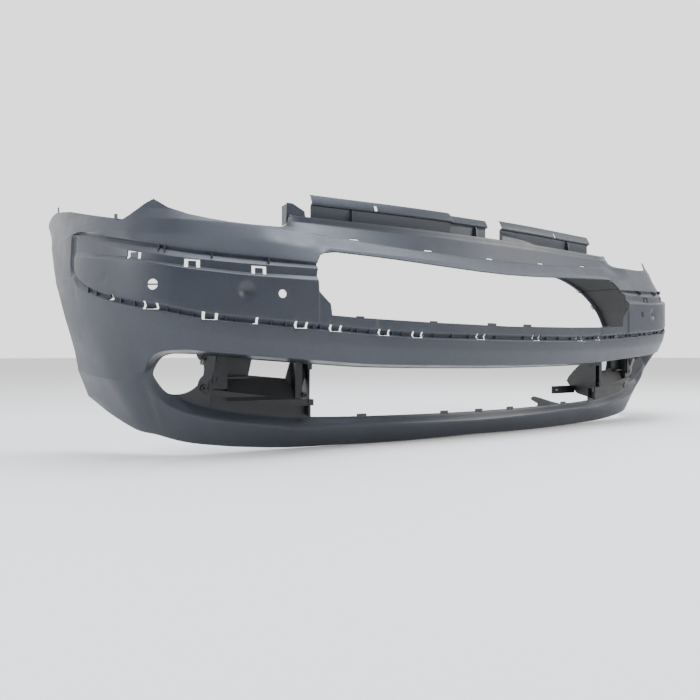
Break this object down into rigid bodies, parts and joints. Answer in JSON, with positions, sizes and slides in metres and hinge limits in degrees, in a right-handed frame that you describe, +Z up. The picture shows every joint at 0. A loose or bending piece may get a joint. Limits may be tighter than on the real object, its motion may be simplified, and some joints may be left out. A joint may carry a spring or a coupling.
{
  "type": "front bumper cover",
  "caption": "Thin moulded front bumper cover with an open grille, wide lower intake, fog lamp openings, clip slots for a trim strip, air deflectors and inner brackets.",
  "frame": {"origin": "midway between the two fixing holes in the top flange, on the flange's upper face", "axes": "+X to the car's left, -Y towards the nose, +Z up"},
  "size_m": [1.7054, 0.558, 0.501],
  "materials": {
    "cover": "satin dark blue-grey primer on plastic",
    "bracket": "bare near-black polypropylene",
    "clip": "black nylon",
    "steel": "zinc-plated"
  },
  "bodies": {
    "root": {"bumper_skin": "cover", "deflector_left": "cover", "deflector_right": "cover", "deflector_clips": "clip", "lamp_carrier_left": "bracket", "lamp_carrier_right": "bracket", "air_duct_left": "bracket", "air_duct_right": "bracket", "duct_rail_left": "bracket", "duct_rail_right": "bracket", "hook_bracket": "bracket", "bracket_screws": "steel", "arch_spring_nuts": "steel"}
  },
  "joints": []
}
